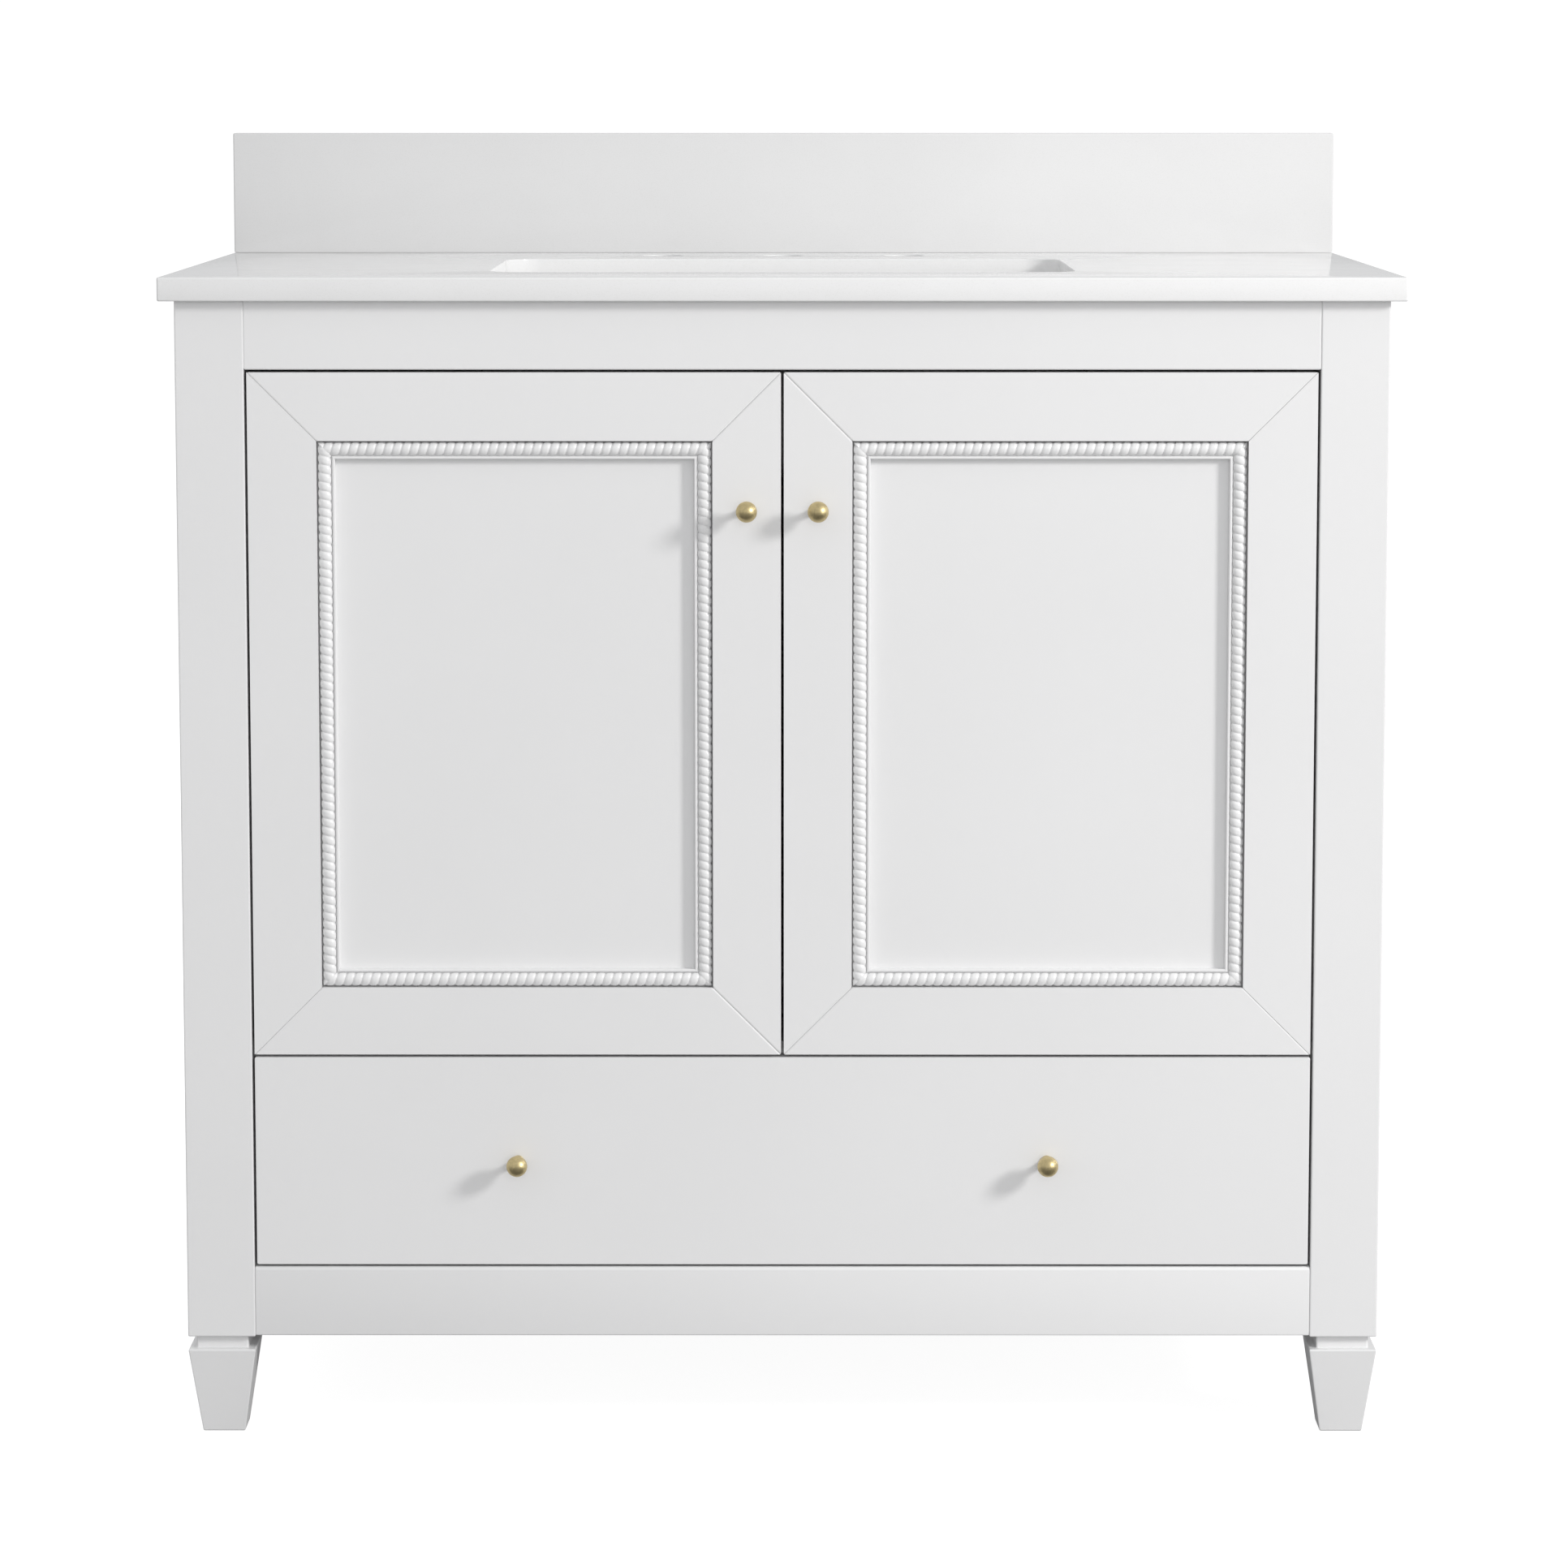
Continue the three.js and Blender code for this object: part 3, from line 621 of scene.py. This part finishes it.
def rope_section(along):
    """One cross-section of the moulding: (in from the frame's edge, back from its face)."""
    half = ROPE_WIDTH / 2
    rise = ROPE_SPRING - ROPE_CREST
    points = [(ROPE_START, PANEL_DEPTH)]
    for step in range(ROPE_STEPS + 1):
        turn = math.pi * step / ROPE_STEPS
        phase = (along + ROPE_LEAN * turn / math.pi) / ROPE_PITCH
        off_crest = abs(2 * (phase - math.floor(phase)) - 1)
        sunk = ROPE_VALLEY * off_crest**ROPE_VALLEY_SHAPE
        across = ROPE_START + half - (half - sunk) * math.cos(turn)
        points.append((across, ROPE_SPRING - (rise - sunk) * math.sin(turn)))
    lip = ROPE_START + ROPE_WIDTH + LIP_GAP
    return points + [
        (lip, ROPE_SPRING),
        (lip, LIP_DEPTH + LIP_EASE),
        (lip + LIP_EASE, LIP_DEPTH),
        (lip + LIP_WIDTH - LIP_EASE, LIP_DEPTH),
        (lip + LIP_WIDTH, LIP_DEPTH + LIP_EASE),
        (lip + LIP_WIDTH, PANEL_DEPTH),
    ]


def rope_strip(origin, along, inward, length):
    """One mitred length. `origin` is the frame's corner on its face."""
    bm = bmesh.new()
    count = int(length / ROPE_SPACING)
    rings = []
    for k in range(-ROPE_SPARE, count + ROPE_SPARE + 1):
        s = k * length / count
        section = [origin + along * s + inward * w + BACK * d for w, d in rope_section(s)]
        rings.append(new_ring(bm, section))
    ring_faces(bm, rings)
    for corner, outward in ((origin, -along), (origin + along * length, along)):
        made = bmesh.ops.bisect_plane(
            bm,
            geom=bm.verts[:] + bm.edges[:] + bm.faces[:],
            plane_co=corner,
            plane_no=(outward + inward).normalized(),
            clear_outer=True,
        )
        edges = [entry for entry in made["geom_cut"] if isinstance(entry, bmesh.types.BMEdge)]
        bmesh.ops.triangle_fill(bm, edges=edges, use_beauty=True, use_dissolve=False)
    return bm


def rope_moulding(side):
    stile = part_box(f"{side}_door_hinge_stile")
    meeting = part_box(f"{side}_door_meeting_stile")
    member = stile[1][0] - stile[0][0]
    left = min(stile[0][0], meeting[0][0]) + member
    right = max(stile[1][0], meeting[1][0]) - member
    bottom = stile[0][2] + member
    top = stile[1][2] - member
    face = stile[0][1]
    runs = [
        (Vector((left, face, top)), EAST, -NORTH, right - left),
        (Vector((left, face, bottom)), NORTH, EAST, top - bottom),
        (Vector((right, face, bottom)), -EAST, NORTH, right - left),
        (Vector((right, face, top)), -NORTH, -EAST, top - bottom),
    ]
    whole = bmesh.new()
    for run in runs:
        strip = rope_strip(*run)
        mesh = bpy.data.meshes.new("strip")
        strip.to_mesh(mesh)
        strip.free()
        whole.from_mesh(mesh)
        bpy.data.meshes.remove(mesh)
    piece(f"{side}_rope", whole, "paint", f"{side}_door", 48, (f"{side}_rope_moulding",))


for door_side, _ in SIDES:
    rope_moulding(door_side)


# ------------------------------------------------------------------ knobs
KNOB_BASE = 4.6 * MM  # radius against the door
KNOB_STEM = 2.7 * MM  # radius between base and ball
KNOB_SIDES = 72
KNOB_BALL_STEPS = 40

# The turned base and stem: (radius beyond the base's or the stem's, height), in mm.
KNOB_FOOT = ((-0.3, 0), (0, 0.3), (0, 1.1), (-0.35, 1.45), (-1.0, 1.9))
KNOB_NECK = ((0.5, 2.7), (0.15, 3.8), (0, 5.4), (0, 9.0), (0.15, 10.6), (0.55, 11.7))
KNOB_COLLAR = 1.1 * MM  # the ball starts this much outside the stem


def lathe(bm, profile, origin, axis):
    """Turn (radius, height) points about an axis; the first and the last lie on the axis."""
    turn_to = NORTH.rotation_difference(axis).to_matrix()
    rings = []
    for radius, height in profile[1:-1]:
        flat = circle((0, 0), radius, KNOB_SIDES)
        rings.append(new_ring(bm, [origin + turn_to @ Vector((x, y, height)) for x, y in flat]))
    ring_faces(bm, rings)
    fan(bm, rings[0], bm.verts.new(origin + axis * profile[0][1]))
    fan(bm, rings[-1], bm.verts.new(origin + axis * profile[-1][1]))


def knob(name, body):
    low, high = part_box(name)
    length = high[1] - low[1]
    radius = (high[0] - low[0]) / 2
    foot_centre = Vector(((low[0] + high[0]) / 2, high[1], (low[2] + high[2]) / 2))
    ball_height = length - radius
    profile = [(0, 0)]
    profile += [(KNOB_BASE + beyond * MM, height * MM) for beyond, height in KNOB_FOOT]
    profile += [(KNOB_STEM + beyond * MM, height * MM) for beyond, height in KNOB_NECK]
    first = math.asin((KNOB_STEM + KNOB_COLLAR) / radius)
    for step in range(KNOB_BALL_STEPS):
        turn = first + (math.pi - first) * step / KNOB_BALL_STEPS
        profile.append((radius * math.sin(turn), ball_height - radius * math.cos(turn)))
    profile.append((0, length))
    bm = bmesh.new()
    lathe(bm, profile, foot_centre, -BACK)
    piece(name + "_turned", bm, "brass", body, 40, (name,))


for knob_side, _ in SIDES:
    knob(f"{knob_side}_door_knob", f"{knob_side}_door")
    knob(f"{knob_side}_drawer_knob", "drawer")


# ------------------------------------------------------------------ screws
# A pan head: (share of its radius, share of its height) from its seat to the middle.
HEAD_LEVELS = (
    (1.0, 0.0), (1.0, 0.35), (0.93, 0.62), (0.8, 0.82), (0.62, 0.95),
    (0.6, 0.96), (0.45, 1.0), (0.3, 1.0), (0.15, 1.0),
)
HEAD_SIDES = 32
# The cross recess, in shares of the head's radius and of its height.
CROSS_REACH = 0.6
CROSS_HALF_WIDTH = 0.17
CROSS_SLOPE = 0.75
CROSS_SINK = 0.62
CROSS_FLOOR = 0.2
CROSS_CENTRE = 0.38

HINGE_LEVELS = ("lower", "upper")
PLATE_SCREW_BEHIND = 18 * MM  # behind the door's back
PLATE_THICKNESS = 0.5 * MM
PLATE_SCREW_SPREAD = 19 * MM
CUP_SCREW_FROM_EDGE = 27.5 * MM
CUP_FLANGE = 1.4 * MM
CUP_SCREW_SPREAD = 21 * MM
SLIDE_SHEET = 1.2 * MM
SLIDE_SCREW_SHARES = (0.07, 0.42, 0.93)  # of the slide's length

# Radius and height of each kind of head.
PLATE_HEAD = (3.6 * MM, 1.9 * MM)
CUP_HEAD = (3.3 * MM, 1.6 * MM)
KNOB_HEAD = (4.2 * MM, 2.2 * MM)
SLIDE_HEAD = (3.4 * MM, 1.8 * MM)


def screw_head(bm, origin, axis, size, turn):
    """A pan head with a cross recess, standing on `origin`."""
    radius, height = size
    across = Matrix.Rotation(turn, 3, axis) @ axis.orthogonal().normalized()
    other = axis.cross(across)
    rings = []
    for share, lift in HEAD_LEVELS:
        ring = []
        for x, y in circle((0, 0), share, HEAD_SIDES):
            in_cross = share <= CROSS_REACH and min(abs(x), abs(y)) < CROSS_HALF_WIDTH
            sink = CROSS_SINK * (1 - share / CROSS_SLOPE) if in_cross else 0.0
            up = height * max(lift - sink, CROSS_FLOOR)
            ring.append(origin + across * (x * radius) + other * (y * radius) + axis * up)
        rings.append(new_ring(bm, ring))
    ring_faces(bm, rings)
    fan(bm, rings[-1], bm.verts.new(origin + axis * (height * CROSS_CENTRE)))
    bm.faces.new(rings[0])


def screws(name, bm, body):
    piece(name, bm, "steel", body, 40)


def hinge_screws():
    """Two screws in each mounting plate and two in each cup's flange."""
    for side, sign in SIDES:
        plates = bmesh.new()
        cups = bmesh.new()
        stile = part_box(f"{side}_door_hinge_stile")
        back = stile[1][1]
        edge = sign * max(abs(corner[0]) for corner in stile)
        for level in HINGE_LEVELS:
            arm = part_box(f"{side}_{level}_hinge_arm")
            z = (arm[0][2] + arm[1][2]) / 2
            x = edge - sign * PLATE_THICKNESS
            for k, dz in enumerate((-PLATE_SCREW_SPREAD, PLATE_SCREW_SPREAD)):
                place = Vector((x, back + PLATE_SCREW_BEHIND, z + dz))
                screw_head(plates, place, -sign * EAST, PLATE_HEAD, 0.6 + k)
            x = edge - sign * CUP_SCREW_FROM_EDGE
            for k, dz in enumerate((-CUP_SCREW_SPREAD, CUP_SCREW_SPREAD)):
                place = Vector((x, back + CUP_FLANGE, z + dz))
                screw_head(cups, place, BACK, CUP_HEAD, 0.3 + 2 * k)
        screws(f"{side}_plate_screws", plates, "cabinet")
        screws(f"{side}_cup_screws", cups, f"{side}_door")


def knob_screw(bm, knob_name, back, turn):
    """The head of a knob's machine screw, on the far side of what the knob sits on."""
    low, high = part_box(knob_name)
    place = Vector(((low[0] + high[0]) / 2, back, (low[2] + high[2]) / 2))
    screw_head(bm, place, BACK, KNOB_HEAD, turn)


def knob_screws():
    behind_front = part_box("drawer_box_front")[1][1]
    door_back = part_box("left_door_meeting_stile")[1][1]
    drawer = bmesh.new()
    for (side, _), turn in zip(SIDES, (0.4, 1.1)):
        door = bmesh.new()
        knob_screw(door, f"{side}_door_knob", door_back, turn)
        screws(f"{side}_door_knob_screw", door, f"{side}_door")
        knob_screw(drawer, f"{side}_drawer_knob", behind_front, turn)
    screws("drawer_knob_screws", drawer, "drawer")


def slide_screws():
    """Pan-head screws through the drawer members of the two slides into the drawer box."""
    bm = bmesh.new()
    for side, sign in SIDES:
        low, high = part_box(f"{side}_slide_drawer_member")
        x = sign * (min(abs(low[0]), abs(high[0])) + SLIDE_SHEET)
        for k, share in enumerate(SLIDE_SCREW_SHARES):
            place = Vector((x, low[1] + share * (high[1] - low[1]), (low[2] + high[2]) / 2))
            screw_head(bm, place, sign * EAST, SLIDE_HEAD, 0.5 + k)
    screws("slide_screws", bm, "drawer")


hinge_screws()
knob_screws()
slide_screws()


# ------------------------------------------------------------------ stage
STAGE_RAYS = ("diffuse", "transmission", "volume_scatter", "shadow")
FLOOR_RADIUS = 14.0
FLOOR_SIDES = 96
BOUNCE_DROP = 0.5 * MM  # the floor that lights from below lies this far under the feet
BACKDROP_RADIUS = 13.5
BACKDROP_SEGMENTS = 48
BACKDROP_RINGS = 24


def pale(name, emission, reflect):
    look = Look(name, (reflect, reflect, reflect), 0.9, Emission_Strength=emission)
    look.shader.inputs["Emission Color"].default_value = (*WHITE, 1.0)
    look.shader.inputs["Specular IOR Level"].default_value = 0.0
    return look.material


def stage(name, bm, material, to_camera, to_light):
    """A stage object, shown to the camera, to the light on the cabinet, or to both."""
    mesh = bpy.data.meshes.new(name)
    bm.to_mesh(mesh)
    bm.free()
    mesh.materials.append(material)
    obj = bpy.data.objects.new(name, mesh)
    scene.collection.objects.link(obj)
    for ray in STAGE_RAYS:
        setattr(obj, f"visible_{ray}", to_light)
    obj.visible_glossy = False
    obj.visible_camera = to_camera


def floor(z):
    bm = bmesh.new()
    bmesh.ops.create_circle(bm, cap_ends=True, segments=FLOOR_SIDES, radius=FLOOR_RADIUS)
    for vert in bm.verts:
        vert.co.z = z
    return bm


def dome():
    bm = bmesh.new()
    bmesh.ops.create_uvsphere(
        bm, u_segments=BACKDROP_SEGMENTS, v_segments=BACKDROP_RINGS, radius=BACKDROP_RADIUS
    )
    return bm


floor_pale = pale("floor_pale", emission=0.93, reflect=0.25)
floor_bounce = pale("floor_bounce", emission=0.0, reflect=0.42)
backdrop_pale = pale("backdrop_pale", emission=1.05, reflect=0.0)
stage("floor_seen", floor(0.0), floor_pale, to_camera=True, to_light=False)
stage("floor_bounce", floor(-BOUNCE_DROP), floor_bounce, to_camera=False, to_light=True)
stage("backdrop", dome(), backdrop_pale, to_camera=True, to_light=False)
